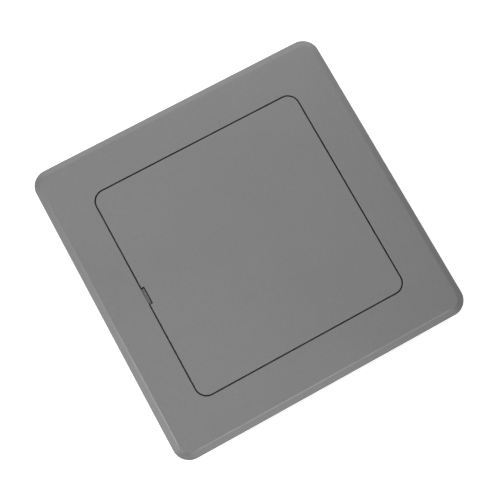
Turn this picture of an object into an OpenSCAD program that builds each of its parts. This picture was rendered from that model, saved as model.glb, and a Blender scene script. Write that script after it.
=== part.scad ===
// Flush access hatch: a square moulded frame with a hinged lid, magnetic catches and swing-out wall clamps.
// Millimetres. +Z is out of the wall, +Y is the hinge side. The origin is the middle of the collar's rear rim.

/* [Frame] */
// Width and height of the opening that the lid closes
opening_w = 120.5; // [100:0.5:240]
// Corner radius of the opening
opening_r = 6.7; // [6:0.1:12]
// Width of the visible border round the opening
border_w = 23.75; // [23:0.25:60]
// Corner radius of the frame's outline
frame_r = 9; // [6:0.5:20]
// Height of the face above the wall
face_h = 2.2; // [2:0.1:3]
// Width of the bevel along the frame's edge
bevel_w = 3.45; // [1:0.05:5]
// Upright part of the frame's edge, under the bevel
edge_land = 0.3; // [0.2:0.1:1]
// Thickness of the rebate's walls and of the ledge
rebate_wall = 1.8; // [1.4:0.1:2.2]
// Width of the ledge behind the lid's edge
ledge_w = 5; // [4.6:0.1:6]
// Depth of the ledge below the wall plane
ledge_drop = 1.1; // [1:0.1:1.5]
// Thickness of the ledge
ledge_t = 1.6; // [1.2:0.1:1.8]

/* [Collar] */
// Distance from the opening's edge to the collar's outer face
collar_offset = 12.75; // [12.75:0.25:20]
// Depth of the collar behind the wall plane
collar_depth = 24; // [23:0.5:60]
// Thickness of the collar
collar_wall = 2; // [1.6:0.1:2.4]
// Outer corner radius of the collar
collar_r = 4; // [3:0.5:8]
// Radius of the screw holes in the collar's sides
side_hole_r = 2.1; // [1.5:0.1:3]
// Distance of the side holes from the middle of their side
side_hole_x = 58; // [52:1:58]
// Distance of the side holes behind the wall plane
side_hole_drop = 16; // [12:1:18]

/* [Lid] */
// Gap between the lid and the frame
lid_gap = 0.7; // [0.7:0.05:1.2]
// Thickness of the lid
lid_t = 2.2; // [2:0.1:2.2]
// Upright part of the lid's edge on the hinge side, above its undercut
lid_land = 0.8; // [0.5:0.1:0.8]
// Length of the pry notch
notch_w = 9.8; // [8:0.1:16]
// Depth of the pry notch, into the lid
notch_depth = 1.55; // [1.2:0.05:2]
// Drop of the pry lip below the face
lip_drop = 1.3; // [1:0.1:1.6]
// Gap between the pry lip and the notch
lip_gap = 0.45; // [0.3:0.05:0.6]
// Height of the lid's ribs
rib_h = 4; // [2:0.5:5]
// Thickness of the lid's ribs
rib_t = 1.6; // [1:0.1:2]

/* [Seal] */
// Width of the foam seal
seal_w = 2.4; // [2:0.1:2.6]
// Thickness of the foam seal
seal_t = 1.0; // [0.6:0.1:1]
// Distance of the seal from the opening's edge
seal_inset = 2.05; // [2.05:0.05:2.2]

/* [Hinge] */
// Distance of each hinge from the middle
hinge_x = 36; // [30:1:38]
// Distance of the hinge axis behind the edge of the opening
hinge_back = 7.5; // [7:0.1:7.7]
// Depth of the hinge axis below the wall plane
hinge_drop = 3.4; // [3.2:0.1:4]
// Width of each hinge arm
arm_w = 9; // [6:0.5:12]
// Thickness of each hinge arm
arm_t = 3; // [2.4:0.1:3.4]
// Clearance between an arm's curve and the ledge that it goes round
arm_clear = 0.5; // [0.4:0.1:0.8]
// Length of the arm's foot on the lid
foot_l = 15; // [14:0.5:20]
// Thickness of the arm's foot
foot_t = 2.4; // [2:0.1:3]
// Thickness of the lid's pads under the feet
pad_t = 2.6; // [2:0.1:3]
// Radius of the hinge pins
pin_r = 1.25; // [1:0.05:1.4]
// Radius of the arm's eye
eye_r = 2.6; // [2.2:0.1:2.7]
// Thickness of each hinge lug
lug_t = 3; // [2:0.2:4]
// Depth of each hinge lug below the wall plane
lug_depth = 7; // [6:0.5:9]

/* [Catches] */
// Distance of each catch from the middle
catch_x = 26; // [22:1:28]
// Length of a catch's body
catch_l = 24; // [22:1:28]
// Width of a catch's body
catch_w = 9; // [8:0.5:10]
// Height of a catch's body above its shelf
catch_h = 5; // [4.5:0.1:6]
// Length of each catch's ear
ear_l = 7; // [6:0.5:9]
// Thickness of each catch's ear
ear_t = 2.5; // [2:0.1:3]
// Length of a magnet
magnet_l = 20; // [16:1:20]
// Width of a magnet
magnet_w = 4; // [3:0.5:4.5]
// Thickness of a pole plate
pole_t = 1.2; // [0.8:0.1:1.4]
// Height that the pole plates stand proud of their body
pole_proud = 0.35; // [0.3:0.05:0.4]
// Thickness of a strike plate
strike_t = 1.0; // [0.8:0.1:1]
// Length of a strike plate
strike_l = 36; // [34:1:40]
// Distance of the strike plate's stakes from its middle
stake_x = 15.2; // [15:0.1:15.6]
// Thickness of the shelf under a catch
shelf_t = 3; // [2:0.2:4]

/* [Clamps] */
// Distance of each clamp screw from the edge of the opening
clamp_inset = 7.75; // [7.75:0.05:8]
// Distance of each clamp screw from the middle, along its side
clamp_y = 34; // [30:1:36]
// Reach of a claw from its screw
claw_reach = 28; // [22:1:28]
// Width of a claw
claw_w = 7.4; // [6:0.2:7.6]
// Thickness of a claw
claw_t = 3; // [2:0.2:4]
// Height of a claw's hub
hub_h = 7; // [5:0.5:8]
// Height of the tooth at a claw's tip
tooth_h = 1; // [0.5:0.1:1.2]
// Travel of a claw along its screw
claw_travel = 8; // [4:0.5:8]
// Radius of the clamp screws
clamp_r = 1.5; // [1.25:0.05:1.75]
// Radius of a clamp screw's head
clamp_head_r = 2.8; // [2.4:0.1:2.8]
// Depth of the boss round a clamp screw, from the top of the ledge
boss_depth = 4; // [3:0.5:5]
// Thickness of a retaining clip
clip_t = 0.6; // [0.4:0.1:0.8]

/* [Small screws] */
// Radius of the small screws' shanks
screw_r = 1.1; // [0.9:0.05:1.25]
// Radius of the small screws' heads
screw_head_r = 2.3; // [1.9:0.1:2.5]
// Height of the small screws' heads
screw_head_h = 1.4; // [1:0.1:1.6]
// Radial clearance of a fixed pin or screw in its hole
fixed_clear = 0.02; // [0.01:0.01:0.05]
// Radial clearance of a turning or sliding fit
run_clear = 0.05; // [0.03:0.01:0.08]

/* [Hidden] */
$fn = 64;

abs_grey = [0.50, 0.50, 0.50];
nylon_grey = [0.32, 0.33, 0.34];
housing_white = [0.82, 0.82, 0.80];
ferrite = [0.18, 0.18, 0.19];
steel = [0.72, 0.73, 0.75];
foam = [0.12, 0.12, 0.13];

over = 1; // what a cut runs past the face it starts from
loose_clear = 0.1; // clearance round a piece that drops into its hole or pocket
wall_z = collar_depth;
face_z = wall_z + face_h;
half_open = opening_w / 2;
frame_w = opening_w + 2 * border_w;

// Rebate, ledge and seal
ledge_z = wall_z - ledge_drop;
ledge_bottom = ledge_z - ledge_t;
rebate_w = opening_w + 2 * rebate_wall;
ledge_in = opening_w - 2 * ledge_w;
seal_out = opening_w - 2 * seal_inset;
seal_in = seal_out - 2 * seal_w;

// Collar
collar_w = opening_w + 2 * collar_offset;
collar_in = collar_w - 2 * collar_wall;
half_collar_in = collar_in / 2;
brace_t = 2;
brace_h = 3.5;
brace_places = [-14, 14];
window_lead = 5.5; // from a clamp's screw to the near edge of its window
window_far = 2; // from a claw's tip back to the far edge of its window
window_drop = 4.2; // from the wall plane down to the top of a window

// Lid
lid_w = opening_w - 2 * lid_gap;
half_lid = lid_w / 2;
lid_r = opening_r - lid_gap;
lid_back = face_z - lid_t;
lip_w = notch_w - 2 * lip_gap;
lip_reach = lid_gap + notch_depth - lip_gap;
pad_edge = 2; // what a pad shows on each side of its arm's foot
rib_inset = 16.25; // from the edge of the opening to the outer ribs
rib_from_catch = 3;
rib_from_foot = 2;

// Hinge
hinge_y = half_open + hinge_back;
hinge_z = wall_z - hinge_drop;
arm_in_r = sqrt(pow(hinge_back + ledge_w, 2) + pow(hinge_drop - ledge_drop, 2)) + arm_clear;
arm_out_r = arm_in_r + arm_t;
foot_top = lid_back - pad_t;
foot_overlap = 1.5; // what the arm's curve and its foot share
foot_end = hinge_y - arm_out_r + foot_overlap;
web_in = 0.8;
web_out = 2.9;
lug_gap = 0.4;
pin_end = 0.6; // what a pin shows past its lugs
pin_head_r = 2.1;
pin_head_h = 0.8;
foot_holes = [foot_end - 4.5, foot_end - foot_l + 3.5];
arm_screw_bite = 1.2; // what an arm's screw goes into the lid, past the pad
arm_screw_l = foot_t + pad_t + arm_screw_bite;
arm_hole_end = 0.3; // what a blind hole runs past its screw's tip

// Catches
catch_drop = 1.5; // from the lid's back down to a catch's body
catch_edge = 0.6; // from a catch's body to the ledge, and to the shelf's edge
shelf_end = 1; // what the shelf shows past a catch's ears
shelf_z = lid_back - catch_drop - catch_h;
catch_y = -(half_open - ledge_w - catch_edge - catch_w / 2);
shelf_in = catch_y + catch_w / 2 + catch_edge;
shelf_l = catch_l + 2 * (ear_l + shelf_end);
pocket_floor = 0.6;
magnet_drop = 0.2; // from the top of a catch's body down to its magnet
catch_hole_x = catch_l / 2 + ear_l / 2;
catch_screw_bite = 4; // what a catch's screw goes past the shelf, into its boss
catch_screw_l = ear_t + shelf_t + catch_screw_bite;
catch_screw_end = shelf_z + ear_t - catch_screw_l;
catch_hole_end = catch_screw_end - 0.5;
catch_boss_end = catch_screw_end - 1;
catch_boss_r = 3;
stake_r = 1.4;
stake_head_r = 2.1;
stake_head_h = 0.6;

// Clamps: the lower and upper clamp of each side, the left side turned half round from the right
clamp_x = half_open - clamp_inset;
hub_r = claw_w / 2;
boss_r = 4.4;
boss_bottom = ledge_z - boss_depth;
clip_gap = 0.1;
clip_z = boss_bottom - clip_gap - clip_t;
clip_r = 2.9;
groove_r = clamp_r - 0.35;
groove_clear = 0.06;
claw_gap = 0.3; // between a claw at the top of its travel and its screw's clip
hub_z = clip_z - claw_gap - claw_travel - hub_h;
clamp_tip_z = 2;
clamp_tip_r = clamp_r - 0.6;
clamp_tip_h = 1;
tooth_w = 2;
gusset_end = 4; // from a claw's tip back to the end of its gusset
clamp_side = [0, 0, 180, 180];
clamp_along = [clamp_y, -clamp_y, clamp_y, -clamp_y];

// A square block with round corners, from a profile of [distance from the corner's centre, height] points
module rim_solid(w, r, profile) {
    c = w / 2 - r;
    low = profile[0][1];
    high = profile[len(profile) - 1][1];
    translate([-c, -c, low]) cube([2 * c, 2 * c, high - low]);
    for (quarter = [0:3]) rotate(90 * quarter) {
        translate([c, c, 0]) rotate([90, 0, 0]) linear_extrude(2 * c) polygon(profile);
        translate([c, c, 0]) rotate_extrude(angle = 90) polygon(profile);
    }
}

module round_block(w, r, low, high) {
    rim_solid(w, r, [[0, low], [r, low], [r, high], [0, high]]);
}

module bar(x, y, z) {
    translate([x[0], y[0], z[0]]) cube([x[1] - x[0], y[1] - y[0], z[1] - z[0]]);
}

module rod(r, low, high) {
    translate([0, 0, low]) cylinder(r = r, h = high - low);
}

// Cross recess in a screw head whose top is at z = 0
module cross_recess(r, depth) {
    slot = r * 0.22;
    for (turn = [0, 90]) rotate(turn)
        bar([-r, r], [-slot, slot], [-depth, over]);
}

// Pan head screw: its head's seat is at z = 0 and its shank runs down
module pan_screw(length) {
    straight_h = screw_head_h * 0.6;
    top_r = screw_head_r * 0.7;
    point_r = 0.3;
    recess_r = screw_head_r * 0.55;
    difference() {
        union() {
            rod(screw_head_r, 0, straight_h);
            translate([0, 0, straight_h])
                cylinder(r1 = screw_head_r, r2 = top_r, h = screw_head_h - straight_h);
            rod(screw_r, -length + screw_r, 0);
            translate([0, 0, -length]) cylinder(r1 = point_r, r2 = screw_r, h = screw_r);
        }
        translate([0, 0, screw_head_h]) cross_recess(recess_r, straight_h);
    }
}

module at_clamps() {
    for (i = [0:3]) at_clamp(i) children();
}

module at_clamp(i) {
    rotate(clamp_side[i]) translate([clamp_x, clamp_along[i], 0]) children();
}

module at_hinges() {
    for (side = [-1, 1]) translate([side * hinge_x, 0, 0]) children();
}

module at_catches() {
    for (side = [-1, 1]) translate([side * catch_x, catch_y, 0]) children();
}

// A cylinder along X through the hinge axis
module hinge_rod(r, x) {
    translate([x[0], hinge_y, hinge_z]) rotate([0, 90, 0]) cylinder(r = r, h = x[1] - x[0]);
}

module frame_flange() {
    difference() {
        rim_solid(frame_w, frame_r, [[0, wall_z], [frame_r, wall_z], [frame_r, wall_z + edge_land],
            [frame_r - bevel_w, face_z], [0, face_z]]);
        round_block(opening_w, opening_r, wall_z - over, face_z + over);
    }
}

module frame_rebate() {
    difference() {
        round_block(rebate_w, opening_r + rebate_wall, ledge_bottom, wall_z);
        round_block(opening_w, opening_r, ledge_z, wall_z + over);
        round_block(ledge_in, opening_r - ledge_w, ledge_bottom - over, ledge_z + over);
    }
}

module frame_collar() {
    difference() {
        round_block(collar_w, collar_r, 0, wall_z);
        round_block(collar_in, collar_r - collar_wall, -over, wall_z + over);
        at_clamps() bar([half_collar_in - clamp_x - over, half_collar_in - clamp_x + collar_wall + over],
            [-window_lead, claw_reach - window_far], [-over, wall_z - window_drop]);
        for (x = [-side_hole_x, side_hole_x])
            translate([x, -collar_w, wall_z - side_hole_drop])
                rotate([-90, 0, 0]) cylinder(r = side_hole_r, h = 2 * collar_w);
    }
}

// Short braces under the border, between the rebate and the collar
module frame_braces() {
    for (quarter = [0:3], along = brace_places)
        rotate(90 * quarter)
            bar([half_open + rebate_wall, half_collar_in],
                [along - brace_t / 2, along + brace_t / 2], [wall_z - brace_h, wall_z]);
}

module frame_lugs() {
    at_hinges() for (side = [-1, 1]) {
        inner = side * (arm_w / 2 + lug_gap);
        outer = inner + side * lug_t;
        bar([min(inner, outer), max(inner, outer)], [half_open + rebate_wall, half_collar_in],
            [wall_z - lug_depth, wall_z]);
    }
}

module frame_shelves() {
    at_catches() {
        bar([-shelf_l / 2, shelf_l / 2], [-half_collar_in - catch_y, shelf_in - catch_y],
            [shelf_z - shelf_t, shelf_z]);
        for (x = [-catch_hole_x, catch_hole_x])
            translate([x, 0, 0]) rod(catch_boss_r, catch_boss_end, shelf_z - shelf_t);
    }
}

module frame_lip() {
    bar([-lip_w / 2, lip_w / 2], [-half_open, -half_open + lip_reach], [ledge_z, face_z - lip_drop]);
}

module frame() {
    color(abs_grey) difference() {
        union() {
            frame_flange();
            frame_rebate();
            frame_collar();
            frame_braces();
            frame_lugs();
            frame_shelves();
            frame_lip();
            at_clamps() rod(boss_r, boss_bottom, ledge_z);
        }
        at_hinges() hinge_rod(pin_r + fixed_clear, [-arm_w, arm_w]);
        at_catches() for (x = [-catch_hole_x, catch_hole_x])
            translate([x, 0, 0]) rod(screw_r + fixed_clear, catch_hole_end, shelf_z + over);
        at_clamps() {
            rod(clamp_r + run_clear, boss_bottom - over, ledge_z + over);
            translate([0, 0, ledge_z - clamp_head_r + clamp_r])
                cylinder(r1 = clamp_r + run_clear, r2 = clamp_head_r + run_clear,
                    h = clamp_head_r - clamp_r);
        }
    }
}

module lid_seal() {
    color(foam) difference() {
        round_block(seal_out, opening_r - seal_inset, ledge_z, ledge_z + seal_t);
        round_block(seal_in, opening_r - seal_inset - seal_w, ledge_z - over, ledge_z + seal_t + over);
    }
}

module hinge_pin(side) {
    reach = arm_w / 2 + lug_gap + lug_t;
    color(steel) translate([side * hinge_x, 0, 0]) {
        hinge_rod(pin_r, [-reach - pin_end, reach + pin_end]);
        hinge_rod(pin_head_r, side > 0 ? [reach, reach + pin_head_h] : [-reach - pin_head_h, -reach]);
    }
}

module hinge_pin_left() { hinge_pin(-1); }
module hinge_pin_right() { hinge_pin(1); }

module catch_housing(side) {
    pocket_l = magnet_l + 2 * loose_clear;
    pocket_w = magnet_w + 2 * (pole_t + loose_clear);
    color(housing_white) translate([side * catch_x, catch_y, shelf_z]) difference() {
        union() {
            bar([-catch_l / 2, catch_l / 2], [-catch_w / 2, catch_w / 2], [0, catch_h]);
            bar([-catch_l / 2 - ear_l, catch_l / 2 + ear_l], [-catch_w / 2, catch_w / 2], [0, ear_t]);
        }
        bar([-pocket_l / 2, pocket_l / 2], [-pocket_w / 2, pocket_w / 2], [pocket_floor, catch_h + over]);
        for (x = [-catch_hole_x, catch_hole_x])
            translate([x, 0, 0]) rod(screw_r + loose_clear, -over, ear_t + over);
    }
}

module catch_housing_left() { catch_housing(-1); }
module catch_housing_right() { catch_housing(1); }

module catch_magnet(side) {
    color(ferrite) translate([side * catch_x, catch_y, shelf_z])
        bar([-magnet_l / 2, magnet_l / 2], [-magnet_w / 2, magnet_w / 2],
            [pocket_floor, catch_h - magnet_drop]);
}

module catch_magnet_left() { catch_magnet(-1); }
module catch_magnet_right() { catch_magnet(1); }

module pole_plates(side) {
    color(steel) translate([side * catch_x, catch_y, shelf_z]) for (face = [-1, 1])
        translate([0, face * (magnet_w + pole_t) / 2, 0])
            bar([-magnet_l / 2, magnet_l / 2], [-pole_t / 2, pole_t / 2],
                [pocket_floor, catch_h + pole_proud]);
}

module pole_plates_left() { pole_plates(-1); }
module pole_plates_right() { pole_plates(1); }

module catch_screws() {
    color(steel) at_catches() for (x = [-catch_hole_x, catch_hole_x])
        translate([x, 0, shelf_z + ear_t]) pan_screw(catch_screw_l);
}

module lid_ribs() {
    rib_x = half_open - rib_inset;
    low_y = catch_y + catch_w / 2 + rib_from_catch;
    high_y = foot_end - foot_l - rib_from_foot;
    for (x = [-rib_x, 0, rib_x])
        bar([x - rib_t / 2, x + rib_t / 2], [low_y, high_y], [lid_back - rib_h, lid_back]);
    for (y = [low_y, (low_y + high_y) / 2, high_y])
        bar([-rib_x - rib_t / 2, rib_x + rib_t / 2], [y - rib_t / 2, y + rib_t / 2],
            [lid_back - rib_h, lid_back]);
}

module lid() {
    undercut = lid_t - lid_land;
    color(abs_grey) difference() {
        union() {
            round_block(lid_w, lid_r, lid_back, face_z);
            lid_ribs();
            at_hinges() bar([-arm_w / 2 - pad_edge, arm_w / 2 + pad_edge],
                [foot_end - foot_l, foot_end], [foot_top, lid_back]);
            at_catches() for (x = [-stake_x, stake_x]) translate([x, 0, 0]) {
                rod(stake_r, lid_back - strike_t, lid_back);
                rod(stake_head_r, lid_back - strike_t - stake_head_h, lid_back - strike_t);
            }
        }
        bar([-notch_w / 2, notch_w / 2], [-half_lid - over, -half_lid + notch_depth],
            [lid_back - over, face_z + over]);
        translate([-half_lid - over, half_lid, lid_back]) rotate([90, 0, 90])
            linear_extrude(lid_w + 2 * over)
                polygon([[over, -over], [over, undercut + over], [-undercut - over, -over]]);
        at_hinges() for (y = foot_holes) translate([0, y, 0])
            rod(screw_r + fixed_clear, foot_top - over, lid_back + arm_screw_bite + arm_hole_end);
    }
}

module hinge_arm(side) {
    color(nylon_grey) translate([side * hinge_x, 0, 0]) difference() {
        union() {
            translate([-arm_w / 2, hinge_y, hinge_z]) rotate([90, 0, 90]) linear_extrude(arm_w) {
                intersection() {
                    difference() {
                        circle(r = arm_out_r);
                        circle(r = arm_in_r);
                    }
                    translate([-2 * arm_out_r, -2 * arm_out_r])
                        square([2 * arm_out_r + web_out, 2 * arm_out_r + foot_top - hinge_z]);
                }
                translate([web_in, -arm_in_r - arm_t / 2])
                    square([web_out - web_in, arm_in_r + arm_t / 2]);
                circle(r = eye_r);
            }
            bar([-arm_w / 2, arm_w / 2], [foot_end - foot_l, foot_end], [foot_top - foot_t, foot_top]);
        }
        hinge_rod(pin_r + run_clear, [-arm_w, arm_w]);
        for (y = foot_holes) translate([0, y, 0])
            rod(screw_r + loose_clear, foot_top - foot_t - over, foot_top + over);
    }
}

module hinge_arm_left() { hinge_arm(-1); }
module hinge_arm_right() { hinge_arm(1); }

module hinge_arm_screws() {
    color(steel) at_hinges() for (y = foot_holes)
        translate([0, y, foot_top - foot_t]) rotate([180, 0, 0]) pan_screw(arm_screw_l);
}

module strike_plate(side) {
    color(steel) translate([side * catch_x, catch_y, lid_back - strike_t]) difference() {
        bar([-strike_l / 2, strike_l / 2], [-catch_w / 2, catch_w / 2], [0, strike_t]);
        for (x = [-stake_x, stake_x]) translate([x, 0, 0])
            rod(stake_r + loose_clear, -over, strike_t + over);
    }
}

module strike_plate_left() { strike_plate(-1); }
module strike_plate_right() { strike_plate(1); }

module clamp_screw(i) {
    cone_h = clamp_head_r - clamp_r;
    recess_r = clamp_head_r * 0.6;
    recess_depth = 1;
    color(steel) at_clamp(i) difference() {
        union() {
            rod(clamp_r, clamp_tip_z + clamp_tip_h, ledge_z - cone_h);
            translate([0, 0, clamp_tip_z]) cylinder(r1 = clamp_tip_r, r2 = clamp_r, h = clamp_tip_h);
            translate([0, 0, ledge_z - cone_h]) cylinder(r1 = clamp_r, r2 = clamp_head_r, h = cone_h);
        }
        difference() {
            rod(clamp_r + over, clip_z, clip_z + clip_t + groove_clear);
            rod(groove_r, clip_z - over, clip_z + clip_t + over);
        }
        translate([0, 0, ledge_z]) cross_recess(recess_r, recess_depth);
    }
}

module clamp_screw_upper_right() { clamp_screw(0); }
module clamp_screw_lower_right() { clamp_screw(1); }
module clamp_screw_lower_left() { clamp_screw(2); }
module clamp_screw_upper_left() { clamp_screw(3); }

module clamp_clip(i) {
    mouth = groove_r * 0.8;
    color(steel) at_clamp(i) difference() {
        rod(clip_r, clip_z, clip_z + clip_t);
        rod(groove_r + fixed_clear, clip_z - over, clip_z + clip_t + over);
        bar([0, clip_r + over], [-mouth, mouth], [clip_z - over, clip_z + clip_t + over]);
    }
}

module clamp_clip_upper_right() { clamp_clip(0); }
module clamp_clip_lower_right() { clamp_clip(1); }
module clamp_clip_lower_left() { clamp_clip(2); }
module clamp_clip_upper_left() { clamp_clip(3); }

// A claw lies along its side until its screw swings it out
module clamp_claw(i) {
    top = hub_z + hub_h;
    color(nylon_grey) at_clamp(i) difference() {
        union() {
            rod(hub_r, hub_z, top);
            bar([-claw_w / 2, claw_w / 2], [0, claw_reach], [top - claw_t, top]);
            bar([-claw_w / 2, claw_w / 2], [claw_reach - tooth_w, claw_reach], [top, top + tooth_h]);
            translate([-rib_t / 2, 0, top - claw_t]) rotate([90, 0, 90]) linear_extrude(rib_t)
                polygon([[0, 0], [claw_reach - gusset_end, 0], [hub_r, claw_t - hub_h],
                    [0, claw_t - hub_h]]);
        }
        rod(clamp_r + run_clear, hub_z - over, top + over);
    }
}

module clamp_claw_upper_right() { clamp_claw(0); }
module clamp_claw_lower_right() { clamp_claw(1); }
module clamp_claw_lower_left() { clamp_claw(2); }
module clamp_claw_upper_left() { clamp_claw(3); }

frame();
lid_seal();
hinge_pin_left();
hinge_pin_right();
catch_housing_left();
catch_housing_right();
catch_magnet_left();
catch_magnet_right();
pole_plates_left();
pole_plates_right();
catch_screws();
lid();
hinge_arm_left();
hinge_arm_right();
hinge_arm_screws();
strike_plate_left();
strike_plate_right();
clamp_screw_upper_right();
clamp_screw_lower_right();
clamp_screw_lower_left();
clamp_screw_upper_left();
clamp_clip_upper_right();
clamp_clip_lower_right();
clamp_clip_lower_left();
clamp_clip_upper_left();
clamp_claw_upper_right();
clamp_claw_lower_right();
clamp_claw_lower_left();
clamp_claw_upper_left();
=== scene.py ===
"""Flush access hatch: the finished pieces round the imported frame.

Metres, +Z out of the wall, +Y the hinge side.
"""
import math

import bmesh
import bpy
from mathutils import Matrix, Vector


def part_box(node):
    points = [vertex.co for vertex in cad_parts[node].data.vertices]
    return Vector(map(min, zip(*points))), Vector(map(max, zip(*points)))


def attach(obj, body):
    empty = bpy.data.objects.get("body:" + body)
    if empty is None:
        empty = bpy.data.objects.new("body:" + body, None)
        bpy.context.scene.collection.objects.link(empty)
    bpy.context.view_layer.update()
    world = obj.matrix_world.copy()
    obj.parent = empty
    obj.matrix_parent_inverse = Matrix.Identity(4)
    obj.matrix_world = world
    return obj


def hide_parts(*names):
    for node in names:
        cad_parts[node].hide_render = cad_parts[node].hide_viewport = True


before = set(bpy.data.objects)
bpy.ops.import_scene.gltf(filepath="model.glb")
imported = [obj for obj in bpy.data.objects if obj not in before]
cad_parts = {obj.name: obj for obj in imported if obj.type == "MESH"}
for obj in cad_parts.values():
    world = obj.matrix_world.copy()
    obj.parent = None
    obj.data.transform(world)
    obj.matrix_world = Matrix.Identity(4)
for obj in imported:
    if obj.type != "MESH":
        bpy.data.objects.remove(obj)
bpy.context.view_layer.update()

scene = bpy.context.scene

# ---------------------------------------------------------------- sizes
MM = 0.001
frame_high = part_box("frame")[1]
lid_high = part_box("lid")[1]
seal_low, seal_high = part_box("lid_seal")

# Frame and collar
HALF_FRAME = frame_high.x
FACE_Z = frame_high.z
LEDGE_Z = seal_low.z
WALL_Z = LEDGE_Z + 1.1 * MM
FRAME_R = 9 * MM
BEVEL_W = 3.45 * MM
EDGE_LAND = 0.3 * MM
LID_GAP = 0.7 * MM
HALF_OPEN = lid_high.x + LID_GAP
OPENING_R = 6.7 * MM
LEDGE_W = 5 * MM
LEDGE_T = 1.6 * MM
REBATE_WALL = 1.8 * MM
HALF_COLLAR = HALF_OPEN + 12.75 * MM
COLLAR_WALL = 2 * MM
COLLAR_R = 4 * MM
HALF_COLLAR_IN = HALF_COLLAR - COLLAR_WALL
SIDE_HOLE_X = 58 * MM
SIDE_HOLE_Z = WALL_Z - 16 * MM
SIDE_HOLE_R = 2.1 * MM
BRACE_T = 2 * MM
BRACE_H = 3.5 * MM
BRACE_SPREAD = 28 * MM
NOTCH_W = 9.8 * MM
NOTCH_DEPTH = 1.55 * MM
LIP_GAP = 0.45 * MM
LIP_DROP = 1.3 * MM

# Lid
HALF_LID = lid_high.x
LID_R = OPENING_R - LID_GAP
LID_BACK = FACE_Z - 2.2 * MM
LID_LAND = 0.8 * MM
LID_INSET = 2 * MM
RIB_T = 1.6 * MM
RIB_H = 4 * MM
RIB_ROOT = 0.02
RIB_ROWS = 3
MARK_SPREAD = (66 * MM, 58 * MM, 0)
MARK_R = 1.6 * MM

# Seal
SEAL_W = 2.4 * MM
SEAL_R = 3.45 * MM
SEAL_ROUND = 0.42 * MM
FOAM_STEP = 0.7 * MM
FOAM_RIPPLE = 0.1 * MM

# Hinges
hinge_low, hinge_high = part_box("hinge_pin_right")
arm_low, arm_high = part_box("hinge_arm_right")
HINGE_X = (arm_low.x + arm_high.x) / 2
HINGE_Y = (hinge_low.y + hinge_high.y) / 2
HINGE_Z = (hinge_low.z + hinge_high.z) / 2
ARM_W = arm_high.x - arm_low.x
LUG_GAP = 0.4 * MM
LUG_T = 3 * MM
LUG_DEPTH = 7 * MM
PIN_R = 1.27 * MM
PAD_EDGE = 2 * MM
FOOT_L = 15 * MM
FOOT_TOP = LID_BACK - 2.6 * MM
FOOT_START = arm_low.y
FOOT_UNDER = FOOT_TOP - 2.4 * MM
FOOT_HOLES_Y = FOOT_START + 7 * MM
FOOT_HOLE_SPREAD = 7 * MM

# Catches
housing_low, housing_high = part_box("catch_housing_right")
CATCH_X = (housing_low.x + housing_high.x) / 2
CATCH_Y = (housing_low.y + housing_high.y) / 2
SHELF_Z = housing_low.z
SHELF_T = 3 * MM
SHELF_END = 1 * MM
EAR_L = 7 * MM
EAR_T = 2.5 * MM
CATCH_HOLE_X = housing_high.x - CATCH_X - EAR_L / 2
CATCH_SCREW_L = 9.5 * MM
BELOW_SCREW = 1 * MM
CATCH_BOSS_R = 3 * MM
STAKE_X = 15.2 * MM
STAKE_R = 1.4 * MM
STAKE_HEAD_R = 2.1 * MM
STRIKE_T = 1 * MM

# Clamps
CLAMPS = ("upper_right", "lower_right", "lower_left", "upper_left")
clip_low, clip_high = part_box("clamp_clip_upper_right")
CLAMP_X = HALF_OPEN - 7.75 * MM
CLAMP_Y = 34 * MM
CLAMP_R = 1.5 * MM
CLAMP_HEAD_R = 2.8 * MM
CLAMP_TIP_Z = 2 * MM
THREAD_DEPTH = 0.3 * MM
THREAD_PITCH = 0.8 * MM
BOSS_R = 4.4 * MM
BOSS_BOTTOM = LEDGE_Z - 4 * MM
CLIP_Z = clip_low.z
CLIP_T = clip_high.z - clip_low.z
WINDOW_LEAD = 5.5 * MM
WINDOW_END = 26 * MM
WINDOW_TOP = WALL_Z - 4.2 * MM
RUN_CLEAR = 0.05 * MM

# Small screws
SCREW_R = 1.1 * MM
SCREW_HEAD_R = 2.3 * MM
SCREW_HEAD_H = 1.4 * MM
ARM_SCREW_L = 6.2 * MM

# How finely round shapes are cut, and what keeps flat faces flat next to them
CORNER_STEPS = 16
FILLET_STEPS = 4
ROUND_STEPS = 48
REST = 0.12 * MM
OVERLAP = 0.5 * MM
CLEAR = 1 * MM
SOFT_EDGE = 0.3 * MM
FINE_EDGE = 0.12 * MM


# ---------------------------------------------------------------- mesh helpers
def linked(name, mesh):
    obj = bpy.data.objects.new(name, mesh)
    scene.collection.objects.link(obj)
    return obj


def solid(name, bm):
    """A bmesh as an object, with its faces turned outwards."""
    bmesh.ops.recalc_face_normals(bm, faces=bm.faces)
    mesh = bpy.data.meshes.new(name)
    bm.to_mesh(mesh)
    bm.free()
    return linked(name, mesh)


def evaluated(obj):
    """The object's mesh with its modifiers applied, and the modifiers gone."""
    bpy.context.view_layer.update()
    mesh = bpy.data.meshes.new_from_object(obj.evaluated_get(bpy.context.evaluated_depsgraph_get()))
    obj.modifiers.clear()
    obj.data = mesh
    return obj


def smooth(obj, angle=32):
    mesh = obj.data
    mesh.shade_smooth()
    mesh.set_sharp_from_angle(angle=math.radians(angle))
    return obj


def flattened(mesh):
    """A bmesh of the mesh, with doubled points merged and flat faces made whole."""
    bm = bmesh.new()
    bm.from_mesh(mesh)
    bmesh.ops.remove_doubles(bm, verts=bm.verts, dist=0.002 * MM)
    bmesh.ops.dissolve_limit(bm, angle_limit=math.radians(0.5), verts=bm.verts, edges=bm.edges)
    return bm


def bevelled(obj, width, angle=30):
    """Rounds the edges that are sharper than the angle."""
    modifier = obj.modifiers.new("edges", "BEVEL")
    modifier.width = width
    modifier.segments = 2
    modifier.limit_method = "ANGLE"
    modifier.angle_limit = math.radians(angle)
    modifier.use_clamp_overlap = False
    return evaluated(obj)


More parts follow.
